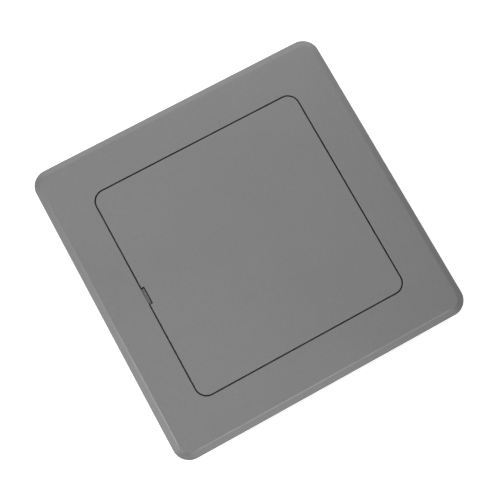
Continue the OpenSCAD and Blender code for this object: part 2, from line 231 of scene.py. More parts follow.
def boolean(obj, tool, operation):
    """Joins the tool's solids to obj or cuts them from it, and removes the tool."""
    modifier = obj.modifiers.new("boolean", "BOOLEAN")
    modifier.object = tool
    modifier.operation = operation
    modifier.solver = "EXACT"
    evaluated(obj)
    bpy.data.objects.remove(tool)
    return obj


def ring(half, radius, z):
    """A rounded square, anticlockwise, with points that keep its straight sides straight."""
    centre = half - radius
    points = []
    for quarter in range(4):
        start = math.pi / 2 * quarter
        middle = Vector((centre, centre, z))
        turn = Matrix.Rotation(start, 3, "Z")
        before = middle + Vector((radius, -REST, 0))
        after = middle + Vector((-REST, radius, 0))
        arc = [middle + radius * Vector((math.cos(a), math.sin(a), 0))
               for a in (math.pi / 2 * k / CORNER_STEPS for k in range(CORNER_STEPS + 1))]
        points += [turn @ p for p in [before, *arc, after]]
    return points


def filleted(corners):
    """Rings along an outline. Each corner is (half width, corner radius, height, fillet)."""
    rings = []
    for i, (half, radius, z, fillet) in enumerate(corners):
        here = Vector((half, z))
        sides = []
        for other in (corners[i - 1], corners[(i + 1) % len(corners)]):
            sides.append(Vector((other[0], other[2])) - here)
        back, ahead = (side.normalized() for side in sides)
        half_angle = back.angle(ahead) / 2
        reach = fillet / math.tan(half_angle)
        middle = here + (back + ahead).normalized() * fillet / math.sin(half_angle)
        start = (here + back * reach - middle).normalized()
        end = (here + ahead * reach - middle).normalized()
        rests = [min(REST, (side.length - reach) / 4) for side in sides]
        points = [here + back * (reach + rests[0])]
        points += [middle + fillet * start.slerp(end, k / FILLET_STEPS) for k in range(FILLET_STEPS + 1)]
        points += [here + ahead * (reach + rests[1])]
        rings += [(p.x, radius + p.x - half, p.y) for p in points]
    return rings


def skin(bm, outlines, closed=False):
    """Walls between outlines with equal numbers of points. Closed is a loop of them, open is capped."""
    loops = [[bm.verts.new(p) for p in outline] for outline in outlines]
    count = len(loops[0])
    for low, high in zip(loops, loops[1:] + loops[:1] if closed else loops[1:]):
        for k in range(count):
            following = (k + 1) % count
            bm.faces.new((low[k], low[following], high[following], high[k]))
    if not closed:
        bm.faces.new(reversed(loops[0]))
        bm.faces.new(loops[-1])


def block(bm, low, high, edge=0):
    """A closed block from corner to corner, with its edges softened."""
    low, high = Vector(low), Vector(high)
    place = Matrix.Translation((low + high) / 2) @ Matrix.Diagonal((*(high - low), 1))
    made = bmesh.ops.create_cube(bm, size=1, matrix=place)
    if edge:
        edges = list({e for v in made["verts"] for e in v.link_edges})
        bmesh.ops.bevel(bm, geom=edges, offset=edge, segments=3, profile=0.5, affect="EDGES",
                        clamp_overlap=True)


def turned(bm, outline, place=Matrix()):
    """A solid of revolution about Z from (radius, height) points, first and last on the axis."""
    loops = []
    for radius, z in outline:
        if radius:
            angles = (math.tau * k / ROUND_STEPS for k in range(ROUND_STEPS))
            circle = [Vector((radius * math.cos(a), radius * math.sin(a), z)) for a in angles]
            loops.append([bm.verts.new(place @ p) for p in circle])
        else:
            loops.append([bm.verts.new(place @ Vector((0, 0, z)))] * ROUND_STEPS)
    for low, high in zip(loops, loops[1:]):
        for k in range(ROUND_STEPS):
            following = (k + 1) % ROUND_STEPS
            corners = dict.fromkeys((low[k], low[following], high[following], high[k]))
            bm.faces.new(corners)


def rod(bm, radius, low, high, place=Matrix()):
    turned(bm, [(0, low), (radius, low), (radius, high), (0, high)], place)


def cross_outline(reach, z):
    """A plus sign, anticlockwise, its bars a quarter as wide as they are long."""
    width = reach / 4
    arm = [Vector((reach, -width, z)), Vector((reach, width, z)), Vector((width, width, z))]
    return [Matrix.Rotation(math.pi / 2 * quarter, 3, "Z") @ p for quarter in range(4) for p in arm]


def crossed(low, high, reach):
    """A cross recess as a tool, narrower at the bottom."""
    bm = bmesh.new()
    skin(bm, [cross_outline(reach * 0.6, low), cross_outline(reach, high)])
    return solid("recess", bm)


# ---------------------------------------------------------------- node helpers
def add(tree, kind, sockets=None, **settings):
    """A node with its settings made and its sockets set or linked."""
    node = tree.nodes.new(kind)
    for key, value in settings.items():
        setattr(node, key, value)
    for key, value in (sockets or {}).items():
        if isinstance(value, bpy.types.NodeSocket):
            tree.links.new(value, node.inputs[key])
        else:
            node.inputs[key].default_value = value
    return node


KINDS = {"float": "NodeSocketFloat", "int": "NodeSocketInt", "vector": "NodeSocketVector",
         "object": "NodeSocketObject", "material": "NodeSocketMaterial"}


def new_tree(name, **inputs):
    """A Geometry Nodes tree with these named inputs, and the node that holds them."""
    tree = bpy.data.node_groups.new(name, "GeometryNodeTree")
    for key, kind in inputs.items():
        tree.interface.new_socket(key, in_out="INPUT", socket_type=KINDS[kind])
    tree.interface.new_socket("Finish", in_out="INPUT", socket_type=KINDS["material"])
    tree.interface.new_socket("Geometry", in_out="OUTPUT", socket_type="NodeSocketGeometry")
    return tree, tree.nodes.new("NodeGroupInput").outputs


def end_tree(tree, sizes, geometry):
    """Every tree ends the same way: real geometry with its finish."""
    real = add(tree, "GeometryNodeRealizeInstances", {"Geometry": geometry})
    finished = add(tree, "GeometryNodeSetMaterial", {"Geometry": real.outputs[0],
                                                     "Material": sizes["Finish"]})
    add(tree, "NodeGroupOutput", {"Geometry": finished.outputs[0]})
    return tree


def grown(name, tree, finish, **values):
    """Runs a tree with these sizes and keeps the result as a plain mesh."""
    obj = linked(name, bpy.data.meshes.new(name))
    modifier = obj.modifiers.new("tree", "NODES")
    modifier.node_group = tree
    values["Finish"] = finish
    for item in tree.interface.items_tree:
        if item.in_out == "INPUT":
            modifier[item.identifier] = values[item.name]
    return evaluated(obj)


def math_node(tree, operation, *values):
    node = add(tree, "ShaderNodeMath", operation=operation)
    for socket, value in zip(node.inputs, values):
        if isinstance(value, bpy.types.NodeSocket):
            tree.links.new(value, socket)
        else:
            socket.default_value = value
    return node.outputs[0]


# ---------------------------------------------------------------- finishes
# What noise mostly stays within
NOISE_LOW, NOISE_HIGH = 0.3, 0.7

# The grey moulding's tone, and how strongly each pattern changes it, painted shade and painted highlights
# among them
GREY = 0.202
MOTTLE = 0.041
CLOUD = 0.02
SPECK_DARK = 0.16
# Strength of the painted shade in the seam round the lid and on the sunken pry lip
SEAM_PAINTED_SHADE = 0.78
LIP_PAINTED_SHADE = 0.16
# Strength of the painted highlight lines along the bevel's inner edge
RIGHT_PAINTED_HIGHLIGHT = 0.34
FRONT_PAINTED_HIGHLIGHT = 0.32
UPRIGHT = 0.5

# Its handling marks: (place, reach, darkening)
STAINS = (
    ((-17 * MM, -70 * MM, FACE_Z), 7 * MM, 0.06),
    ((25 * MM, 55.5 * MM, FACE_Z), 1.2 * MM, 0.1),
    ((56.5 * MM, 67.5 * MM, FACE_Z), 1.2 * MM, -0.12),
    ((82.5 * MM, -48.5 * MM, FACE_Z), 1.5 * MM, 0.15),
)


class Finish:
    """A material in the making. Its patterns sit on Object coordinates."""

    def __init__(self, name, **shader):
        self.material = bpy.data.materials.new(name)
        self.material.use_nodes = True
        self.tree = self.material.node_tree
        self.shader = self.tree.nodes["Principled BSDF"]
        self.place = add(self.tree, "ShaderNodeTexCoord").outputs["Object"]
        for key, value in shader.items():
            self.shader.inputs[key.replace("_", " ")].default_value = value

    def noise(self, scale, detail=2, place=None):
        return add(self.tree, "ShaderNodeTexNoise",
                   {"Vector": place or self.place, "Scale": scale, "Detail": detail}).outputs[0]

    def cells(self, scale, feature="F1", dimensions="3D"):
        node = add(self.tree, "ShaderNodeTexVoronoi", {"Scale": scale, "Vector": self.place},
                   feature=feature, voronoi_dimensions=dimensions)
        return node.outputs["Distance"]

    def axes(self):
        return add(self.tree, "ShaderNodeSeparateXYZ", {0: self.place}).outputs

    def stretched(self, across, along, up):
        """Object coordinates squeezed so that a pattern runs in streaks."""
        return add(self.tree, "ShaderNodeMapping",
                   {"Vector": self.place, "Scale": (across, along, up)}).outputs[0]

    def span(self, value, low, high, to_low=0.0, to_high=1.0, smooth_ends=True):
        kind = "SMOOTHSTEP" if smooth_ends else "LINEAR"
        node = add(self.tree, "ShaderNodeMapRange", interpolation_type=kind)
        self.tree.links.new(value, node.inputs[0])
        for socket, number in zip(node.inputs[1:5], (low, high, to_low, to_high)):
            socket.default_value = number
        return node.outputs[0]

    def spread(self, pattern, to_low, to_high, smooth_ends=True):
        """A noise pattern stretched over these values."""
        return self.span(pattern, NOISE_LOW, NOISE_HIGH, to_low, to_high, smooth_ends)

    def math(self, operation, *values):
        return math_node(self.tree, operation, *values)

    def near(self, point, reach, ragged=None):
        """1 at a point and 0 from reach outwards."""
        gap = add(self.tree, "ShaderNodeVectorMath", {0: self.place, 1: point}, operation="DISTANCE")
        far = gap.outputs["Value"]
        if ragged:
            far = self.math("MULTIPLY_ADD", ragged, reach, far)
        return self.span(far, 0, reach * 1.5, 1, 0)

    def tinted(self, tone, shade):
        """The base colour: a tone whose brightness follows shade."""
        scaled = add(self.tree, "ShaderNodeVectorMath", {0: tone, "Scale": shade}, operation="SCALE")
        self.tree.links.new(scaled.outputs[0], self.shader.inputs["Base Color"])

    def rough(self, value, low, high):
        self.tree.links.new(self.spread(value, low, high), self.shader.inputs["Roughness"])

    def bump(self, height, depth, strength, under=None):
        sockets = {"Height": height, "Distance": depth, "Strength": strength}
        if under:
            sockets["Normal"] = under
        normal = add(self.tree, "ShaderNodeBump", sockets).outputs[0]
        self.tree.links.new(normal, self.shader.inputs["Normal"])
        return normal


def seam_painted_shade(f, x, y, z):
    """Painted shade round the lid: dark on upright walls and the ledge of the seam, lighter on the pry lip,
    and 1 elsewhere.

    Upright is taken in the room and not on the part, so an open lid's outer face is darkened too.
    """
    reach = f.math("MAXIMUM", f.math("ABSOLUTE", x), f.math("ABSOLUTE", y))
    inside = f.math("LESS_THAN", reach, HALF_OPEN + REST)
    normal = add(f.tree, "ShaderNodeNewGeometry").outputs["Normal"]
    rise = add(f.tree, "ShaderNodeSeparateXYZ", {0: normal}).outputs["Z"]
    upright = f.math("LESS_THAN", f.math("ABSOLUTE", rise), UPRIGHT)
    wall = f.math("MULTIPLY", upright, f.math("GREATER_THAN", z, LID_BACK + REST))
    ledge = f.math("COMPARE", z, LEDGE_Z, REST)
    lip = f.math("COMPARE", z, FACE_Z - LIP_DROP, REST)
    # Painted shade: the seam's upright walls and its ledge are darkened strongly, the sunken pry lip less
    seam_shade = f.math("MULTIPLY", f.math("MAXIMUM", wall, ledge), SEAM_PAINTED_SHADE)
    painted_shade = f.math("MULTIPLY", inside, f.math("MAXIMUM", seam_shade, f.math("MULTIPLY", lip, LIP_PAINTED_SHADE)))
    return f.math("SUBTRACT", 1.0, painted_shade)


def highlight_line(f, side, place, along):
    """1 along the bevel's inner edge on one side of the frame, where a painted highlight goes. It fades
    either way and before the corners.
    """
    off = f.math("ABSOLUTE", f.math("MULTIPLY_ADD", place, side, BEVEL_W - HALF_FRAME))
    straight = HALF_FRAME - FRAME_R
    ends = f.span(f.math("ABSOLUTE", along), straight - 4 * MM, straight + 1 * MM, 1, 0)
    return f.math("MULTIPLY", f.span(off, 0.15 * MM, 0.45 * MM, 1, 0), ends)


def grey_moulding():
    """Mid grey matt plastic with a fine spark-eroded grain, a few specks and handling marks, with painted
    highlight lines along the bevel and painted shade in the seam.
    """
    f = Finish("grey_moulding", IOR=1.5)
    mottle = f.spread(f.noise(850, 3), -MOTTLE, MOTTLE, False)
    cloud = f.spread(f.noise(22, 2), -CLOUD, CLOUD)
    shade = f.math("ADD", f.math("ADD", mottle, cloud), 1.0)
    x, y, z = f.axes()
    on_face = f.math("GREATER_THAN", z, WALL_Z)
    speck = f.span(f.cells(48, dimensions="2D"), 0.006, 0.02, SPECK_DARK, 0)
    shade = f.math("SUBTRACT", shade, f.math("MULTIPLY", speck, on_face))
    # Painted highlights: lighter lines along the bevel's inner edge on the +X and -Y sides, the -Y one
    # brighter towards +X, varied by noise
    right_highlight = f.math("MULTIPLY", highlight_line(f, 1, x, y), RIGHT_PAINTED_HIGHLIGHT)
    front_highlight = f.math("MULTIPLY", highlight_line(f, -1, y, x), f.span(x, 0, 60 * MM, 0, FRONT_PAINTED_HIGHLIGHT))
    highlight_variation = f.spread(f.noise(140, 2), 0.7, 1.3)
    painted_highlight = f.math("MULTIPLY", f.math("ADD", right_highlight, front_highlight), highlight_variation)
    shade = f.math("MULTIPLY_ADD", painted_highlight, on_face, shade)
    # Painted shade in the seam round the lid and on the pry lip
    shade = f.math("MULTIPLY", shade, seam_painted_shade(f, x, y, z))
    for point, reach, dark in STAINS:
        mark = f.near(point, reach, f.noise(90, 3))
        shade = f.math("SUBTRACT", shade, f.math("MULTIPLY", mark, dark))
    f.tinted((GREY, GREY, GREY), shade)
    f.rough(f.noise(160, 3), 0.34, 0.40)
    wave = f.bump(f.noise(70, 1), 0.06 * MM, 0.35)
    f.bump(f.noise(2600, 2), 0.02 * MM, 0.35, wave)
    return f.material


def dark_moulding():
    """Glass-filled nylon: dark grey, with a streaky, slightly fibrous skin."""
    f = Finish("dark_moulding", IOR=1.53)
    streak = f.noise(500, 3, f.stretched(1, 0.15, 1))
    shade = f.spread(streak, 0.86, 1.14, False)
    f.tinted((0.075, 0.077, 0.08), shade)
    f.rough(streak, 0.38, 0.52)
    f.bump(streak, 0.03 * MM, 0.4)
    return f.material


def white_moulding():
    """Acetal: off-white and slightly waxy, with a fine grain."""
    f = Finish("white_moulding", IOR=1.48, Subsurface_Weight=0.15, Subsurface_Scale=0.6 * MM)
    grain = f.noise(1400, 2)
    cloud = f.noise(60, 2)
    f.tinted((0.66, 0.655, 0.62), f.spread(cloud, 0.95, 1.03))
    f.rough(grain, 0.32, 0.44)
    f.bump(grain, 0.015 * MM, 0.4)
    return f.material


def black_ferrite():
    """Sintered ferrite: charcoal, dull and finely pitted."""
    f = Finish("black_ferrite", IOR=1.9)
    grain = f.noise(2200, 3)
    f.tinted((0.028, 0.028, 0.03), f.spread(grain, 0.7, 1.4))
    f.rough(grain, 0.5, 0.7)
    pits = f.span(f.cells(900), 0.02, 0.12)
    f.bump(f.math("ADD", pits, grain), 0.02 * MM, 0.5)
    return f.material


def zinc_steel():
    """Zinc-plated steel with fine scratches and a patchy passivated tint."""
    f = Finish("zinc_steel", Metallic=1)
    patch = f.noise(260, 3)
    scratch = f.noise(2600, 2, f.stretched(0.08, 1, 1))
    shade = f.math("MULTIPLY", f.spread(patch, 0.92, 1.04), f.spread(scratch, 0.95, 1.04))
    f.tinted((0.60, 0.61, 0.63), shade)
    f.rough(f.math("MULTIPLY_ADD", patch, 0.5, f.math("MULTIPLY", scratch, 0.5)), 0.32, 0.46)
    f.bump(scratch, 0.004 * MM, 0.3)
    return f.material


def black_foam():
    """Closed-cell foam: dull black, with small burst cells in its skin."""
    f = Finish("black_foam", IOR=1.4, Sheen_Weight=0.2, Sheen_Roughness=0.6)
    cell = f.cells(1900)
    f.tinted((0.022, 0.022, 0.023), f.span(cell, 0.1, 0.6, 0.5, 1.3))
    f.rough(f.noise(800, 2), 0.85, 0.98)
    f.bump(f.span(cell, 0.05, 0.5), 0.12 * MM, 0.7)
    return f.material


GREY_MOULDING = grey_moulding()
DARK_MOULDING = dark_moulding()
WHITE_MOULDING = white_moulding()
BLACK_FERRITE = black_ferrite()
ZINC_STEEL = zinc_steel()
BLACK_FOAM = black_foam()


def finish_piece(obj, body, material, replaced=(), angle=32):
    """The last step of every piece: its finish, its body and what it stands for."""
    obj.data.materials.clear()
    obj.data.materials.append(material)
    obj.data.polygons.foreach_set("material_index", [0] * len(obj.data.polygons))
    smooth(obj, angle)
    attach(obj, body)
    if replaced:
        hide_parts(*replaced)
    return obj


# ---------------------------------------------------------------- trees for what repeats
def brace_tree():
    """Pairs of braces, repeated on all four sides."""
    tree, sizes = new_tree("braces", Size="vector", Place="vector", Spread="float")
    start = add(tree, "ShaderNodeCombineXYZ", {"Y": math_node(tree, "MULTIPLY", sizes["Spread"], -0.5)})
    step = add(tree, "ShaderNodeCombineXYZ", {"Y": sizes["Spread"]})
    pair = add(tree, "GeometryNodeMeshLine", {"Count": 2, "Start Location": start.outputs[0],
                                              "Offset": step.outputs[0]})
    brace = add(tree, "GeometryNodeMeshCube", {"Size": sizes["Size"]})
    moved = add(tree, "GeometryNodeTransform", {"Geometry": brace.outputs[0], "Translation": sizes["Place"]})
    pairs = add(tree, "GeometryNodeInstanceOnPoints", {"Points": pair.outputs[0],
                                                       "Instance": moved.outputs[0]})
    sides = add(tree, "GeometryNodeMeshLine", {"Count": 4, "Offset": (0, 0, 0)})
    index = add(tree, "GeometryNodeInputIndex").outputs[0]
    turn = add(tree, "ShaderNodeCombineXYZ", {"Z": math_node(tree, "MULTIPLY", index, math.pi / 2)})
    around = add(tree, "GeometryNodeInstanceOnPoints", {"Points": sides.outputs[0],
                                                        "Instance": pairs.outputs[0],
                                                        "Rotation": turn.outputs[0]})
    return end_tree(tree, sizes, around.outputs[0])


def rib_tree():
    """Ribs side by side across X, each running along Y, with drafted sides."""
    tree, sizes = new_tree("ribs", Count="int", Spread="float", Length="float", Thickness="float",
                           Depth="float")
    gap = math_node(tree, "DIVIDE", sizes["Spread"], math_node(tree, "SUBTRACT", sizes["Count"], 1.0))
    start = add(tree, "ShaderNodeCombineXYZ", {"X": math_node(tree, "MULTIPLY", sizes["Spread"], -0.5)})
    step = add(tree, "ShaderNodeCombineXYZ", {"X": gap})
    line = add(tree, "GeometryNodeMeshLine", {"Count": sizes["Count"], "Start Location": start.outputs[0],
                                              "Offset": step.outputs[0]})
    size = add(tree, "ShaderNodeCombineXYZ", {"X": sizes["Thickness"], "Y": sizes["Length"],
                                              "Z": sizes["Depth"]})
    rib = add(tree, "GeometryNodeMeshCube", {"Size": size.outputs[0]})
    place = add(tree, "ShaderNodeSeparateXYZ", {0: add(tree, "GeometryNodeInputPosition").outputs[0]})
    x, y, z = place.outputs
    narrow = math_node(tree, "MULTIPLY_ADD", math_node(tree, "LESS_THAN", z, 0.0), -0.25, 1.0)
    tapered = add(tree, "ShaderNodeCombineXYZ", {"X": math_node(tree, "MULTIPLY", x, narrow), "Y": y, "Z": z})
    drafted = add(tree, "GeometryNodeSetPosition", {"Geometry": rib.outputs[0],
                                                    "Position": tapered.outputs[0]})
    copies = add(tree, "GeometryNodeInstanceOnPoints", {"Points": line.outputs[0],
                                                        "Instance": drafted.outputs[0]})
    return end_tree(tree, sizes, copies.outputs[0])


def mark_tree():
    """Ejector-pin marks: shallow discs on a grid."""
    tree, sizes = new_tree("ejector_marks", Spread="vector", Columns="int", Rows="int", Radius="float",
                           Depth="float", Middle="vector")
    spread = add(tree, "ShaderNodeSeparateXYZ", {0: sizes["Spread"]})
    grid = add(tree, "GeometryNodeMeshGrid", {"Size X": spread.outputs["X"], "Size Y": spread.outputs["Y"],
                                              "Vertices X": sizes["Columns"], "Vertices Y": sizes["Rows"]})
    disc = add(tree, "GeometryNodeMeshCylinder", {"Vertices": 24, "Radius": sizes["Radius"],
                                                  "Depth": sizes["Depth"]})
    marks = add(tree, "GeometryNodeInstanceOnPoints", {"Points": grid.outputs[0],
                                                       "Instance": disc.outputs[0]})
    moved = add(tree, "GeometryNodeTransform", {"Geometry": marks.outputs[0], "Translation": sizes["Middle"]})
    return end_tree(tree, sizes, moved.outputs[0])


def screw_pair_tree():
    """The same screw four times: two pairs."""
    tree, sizes = new_tree("screw_pairs", Screw="object", Middle="vector", Between="vector", Within="vector",
                           Turn="vector")

    def centred(step):
        return add(tree, "ShaderNodeVectorMath", {0: step, "Scale": -0.5}, operation="SCALE").outputs[0]

    def line(step):
        return add(tree, "GeometryNodeMeshLine", {"Count": 2, "Start Location": centred(step),
                                                  "Offset": step}).outputs[0]

    pairs = add(tree, "GeometryNodeInstanceOnPoints", {"Points": line(sizes["Between"]),
                                                       "Instance": line(sizes["Within"])})
    points = add(tree, "GeometryNodeRealizeInstances", {"Geometry": pairs.outputs[0]})
    screw = add(tree, "GeometryNodeObjectInfo", {"Object": sizes["Screw"]})
    placed = add(tree, "GeometryNodeInstanceOnPoints", {"Points": points.outputs[0],
                                                        "Instance": screw.outputs["Geometry"],
                                                        "Rotation": sizes["Turn"]})
    moved = add(tree, "GeometryNodeTransform", {"Geometry": placed.outputs[0],
                                                "Translation": sizes["Middle"]})
    return end_tree(tree, sizes, moved.outputs[0])


def thread_tree():
    """A closed rod whose surface winds in and out as a screw thread up to Top, and is plain above it."""
    tree, sizes = new_tree("thread", Radius="float", Depth="float", Pitch="float", Low="float", High="float",
                           Top="float")
    length = math_node(tree, "SUBTRACT", sizes["High"], sizes["Low"])
    turns = math_node(tree, "DIVIDE", length, sizes["Pitch"])
    steps = math_node(tree, "MULTIPLY", turns, 10.0)
    shank = add(tree, "GeometryNodeMeshCylinder", {"Vertices": 28, "Side Segments": steps,
                                                   "Radius": sizes["Radius"], "Depth": length})
    middle = math_node(tree, "MULTIPLY", math_node(tree, "ADD", sizes["High"], sizes["Low"]), 0.5)
    centre = add(tree, "ShaderNodeCombineXYZ", {"Z": middle})
    raised = add(tree, "GeometryNodeTransform", {"Geometry": shank.outputs[0],
                                                 "Translation": centre.outputs[0]})
    place = add(tree, "ShaderNodeSeparateXYZ", {0: add(tree, "GeometryNodeInputPosition").outputs[0]})
    x, y, z = place.outputs
    angle = math_node(tree, "ARCTAN2", y, x)
    winding = math_node(tree, "SUBTRACT", math_node(tree, "DIVIDE", z, sizes["Pitch"]),
                        math_node(tree, "DIVIDE", angle, math.tau))
    groove = math_node(tree, "PINGPONG", winding, 0.5)
    share = math_node(tree, "DIVIDE", sizes["Depth"], sizes["Radius"])
    cut = math_node(tree, "MULTIPLY", math_node(tree, "MULTIPLY", groove, 2.0), share)
    threaded = math_node(tree, "LESS_THAN", z, sizes["Top"])
    scale = math_node(tree, "SUBTRACT", 1.0, math_node(tree, "MULTIPLY", cut, threaded))
    wound = add(tree, "ShaderNodeCombineXYZ", {"X": math_node(tree, "MULTIPLY", x, scale),
                                               "Y": math_node(tree, "MULTIPLY", y, scale), "Z": z})
    moved = add(tree, "GeometryNodeSetPosition", {"Geometry": raised.outputs[0],
                                                  "Position": wound.outputs[0]})
    return end_tree(tree, sizes, moved.outputs[0])


def foam_bead_tree():
    """A foam bead laid round a rounded square, its surface a little uneven."""
    tree, sizes = new_tree("bead", Side="float", Corner="float", Width="float", Height="float", Round="float",
                           Middle="vector", Unevenness="float")
    square = add(tree, "GeometryNodeCurvePrimitiveQuadrilateral", {"Width": sizes["Side"],
                                                                   "Height": sizes["Side"]})
    path = add(tree, "GeometryNodeFilletCurve", {"Curve": square.outputs[0], "Radius": sizes["Corner"],
                                                 "Count": 10, "Limit Radius": True}, mode="POLY")
    section = add(tree, "GeometryNodeCurvePrimitiveQuadrilateral", {"Width": sizes["Width"],
                                                                    "Height": sizes["Height"]})
    domed = add(tree, "GeometryNodeFilletCurve", {"Curve": section.outputs[0], "Radius": sizes["Round"],
                                                  "Count": 5, "Limit Radius": True}, mode="POLY")
    even = add(tree, "GeometryNodeResampleCurve", {"Curve": path.outputs[0], "Length": FOAM_STEP},
               mode="LENGTH")
    bead = add(tree, "GeometryNodeCurveToMesh", {"Curve": even.outputs[0], "Profile Curve": domed.outputs[0]})
    ripple = add(tree, "ShaderNodeTexNoise", {"Scale": 320.0, "Detail": 2.0}, noise_dimensions="3D")
    centred = math_node(tree, "SUBTRACT", ripple.outputs[0], 0.5)
    amount = math_node(tree, "MULTIPLY", centred, sizes["Unevenness"])
    normal = add(tree, "GeometryNodeInputNormal").outputs[0]
    push = add(tree, "ShaderNodeVectorMath", {0: normal, "Scale": amount}, operation="SCALE")
    uneven = add(tree, "GeometryNodeSetPosition", {"Geometry": bead.outputs[0], "Offset": push.outputs[0]})
    moved = add(tree, "GeometryNodeTransform", {"Geometry": uneven.outputs[0],
                                                "Translation": sizes["Middle"]})
    return end_tree(tree, sizes, moved.outputs[0])


# ---------------------------------------------------------------- frame
def clamp_places():
    """(turn about Z, place on the right-hand side) of each clamp, in the order of CLAMPS."""
    return [(0, CLAMP_Y), (0, -CLAMP_Y), (math.pi, CLAMP_Y), (math.pi, -CLAMP_Y)]


def clamp_matrices():
    return [Matrix.Rotation(turn, 4, "Z") @ Matrix.Translation((CLAMP_X, along, 0))
            for turn, along in clamp_places()]


def across(y, z):
    """Turns a solid of revolution so that it lies along X."""
    return Matrix.Translation((0, y, z)) @ Matrix.Rotation(math.pi / 2, 4, "Y")


def frame_shell():
    """Flange, rebate, ledge and collar as one closed section, carried round a rounded square.

    Each corner of the section is (the outline that it runs parallel to, half width, height, fillet).
    """
    rebate = HALF_OPEN + REBATE_WALL
    ledge_in = HALF_OPEN - LEDGE_W
    under = LEDGE_Z - LEDGE_T
    outer, opening, collar = (HALF_FRAME, FRAME_R), (HALF_OPEN, OPENING_R), (HALF_COLLAR, COLLAR_R)
    section = [
        (outer, HALF_FRAME, WALL_Z, 0.06 * MM),
        (outer, HALF_FRAME, WALL_Z + EDGE_LAND, 0.2 * MM),
        (outer, HALF_FRAME - BEVEL_W, FACE_Z, 1.8 * MM),
        (opening, HALF_OPEN, FACE_Z, 0.12 * MM),
        (opening, HALF_OPEN, LEDGE_Z, 0.15 * MM),
        (opening, ledge_in, LEDGE_Z, 0.25 * MM),
        (opening, ledge_in, under, 0.2 * MM),
        (opening, rebate, under, 0.3 * MM),
        (opening, rebate, WALL_Z, 0.3 * MM),
        (collar, HALF_COLLAR_IN, WALL_Z, 0.4 * MM),
        (collar, HALF_COLLAR_IN, 0, 0.3 * MM),
        (collar, HALF_COLLAR, 0, 0.3 * MM),
        (collar, HALF_COLLAR, WALL_Z, 0.4 * MM),
    ]
    corners = [(half, radius + half - base, z, fillet) for (base, radius), half, z, fillet in section]
    bm = bmesh.new()
    skin(bm, [ring(*r) for r in filleted(corners)], closed=True)
    return solid("hatch_frame", bm)


def frame_additions():
    """What stands on the shell: lugs, catch shelves and the pry lip."""
    bm = bmesh.new()
    lug_inner = ARM_W / 2 + LUG_GAP
    for side in (-1, 1):
        for edge in (-1, 1):
            inner = side * HINGE_X + edge * lug_inner
            outer = inner + edge * LUG_T
            block(bm, (min(inner, outer), HALF_OPEN + REBATE_WALL - OVERLAP, WALL_Z - LUG_DEPTH),
                  (max(inner, outer), HALF_COLLAR_IN + OVERLAP, WALL_Z + OVERLAP), SOFT_EDGE)
        middle = side * CATCH_X
        half = CATCH_HOLE_X + EAR_L / 2 + SHELF_END
        block(bm, (middle - half, -HALF_COLLAR_IN - OVERLAP, SHELF_Z - SHELF_T),
              (middle + half, housing_high.y + 0.6 * MM, SHELF_Z), SOFT_EDGE)
    half_lip = NOTCH_W / 2 - LIP_GAP
    lip_end = -HALF_OPEN + LID_GAP + NOTCH_DEPTH - LIP_GAP
    block(bm, (-half_lip, -HALF_OPEN - OVERLAP, LEDGE_Z - OVERLAP),
          (half_lip, lip_end, FACE_Z - LIP_DROP), 0.15 * MM)
    return solid("frame_additions", bm)


def frame_bosses():
    bm = bmesh.new()
    for place in clamp_matrices():
        turned(bm, [(0, BOSS_BOTTOM), (BOSS_R - FINE_EDGE, BOSS_BOTTOM), (BOSS_R, BOSS_BOTTOM + FINE_EDGE),
                    (BOSS_R, LEDGE_Z), (0, LEDGE_Z)], place)
    boss_low = SHELF_Z + EAR_T - CATCH_SCREW_L - BELOW_SCREW
    for side in (-1, 1):
        for edge in (-1, 1):
            place = Matrix.Translation((side * CATCH_X + edge * CATCH_HOLE_X, CATCH_Y, 0))
            turned(bm, [(0, boss_low), (CATCH_BOSS_R - SOFT_EDGE, boss_low),
                        (CATCH_BOSS_R, boss_low + SOFT_EDGE), (CATCH_BOSS_R, SHELF_Z - SHELF_T + OVERLAP),
                        (0, SHELF_Z - SHELF_T + OVERLAP)], place)
    return solid("frame_bosses", bm)


def frame_cuts():
    """Claw windows, side holes, pin bores, catch screw holes and the clamp screws' countersunk bores."""
    bm = bmesh.new()
    for place in clamp_matrices():
        low = Vector((HALF_COLLAR_IN - CLAMP_X - CLEAR, -WINDOW_LEAD, -CLEAR))
        high = Vector((HALF_COLLAR - CLAMP_X + CLEAR, WINDOW_END, WINDOW_TOP))
        before = set(bm.verts)
        block(bm, low, high, 0.6 * MM)
        bmesh.ops.transform(bm, matrix=place, verts=[v for v in bm.verts if v not in before])
        cone = CLAMP_HEAD_R - CLAMP_R
        bore = CLAMP_R + RUN_CLEAR
        turned(bm, [(0, BOSS_BOTTOM - CLEAR), (bore, BOSS_BOTTOM - CLEAR), (bore, LEDGE_Z - cone),
                    (CLAMP_HEAD_R + RUN_CLEAR, LEDGE_Z), (CLAMP_HEAD_R + RUN_CLEAR, LEDGE_Z + CLEAR / 2),
                    (0, LEDGE_Z + CLEAR / 2)], place)
    for side in (-1, 1):
        hole = Matrix.Translation((side * SIDE_HOLE_X, 0, SIDE_HOLE_Z))
        along = Matrix.Rotation(math.pi / 2, 4, "X")
        rod(bm, SIDE_HOLE_R, -HALF_FRAME, HALF_FRAME, hole @ along)
        rod(bm, PIN_R, side * HINGE_X - ARM_W, side * HINGE_X + ARM_W, across(HINGE_Y, HINGE_Z))
        for edge in (-1, 1):
            place = Matrix.Translation((side * CATCH_X + edge * CATCH_HOLE_X, CATCH_Y, 0))
            rod(bm, SCREW_R, SHELF_Z + EAR_T - CATCH_SCREW_L - BELOW_SCREW / 2, SHELF_Z + CLEAR, place)
    return solid("frame_cuts", bm)


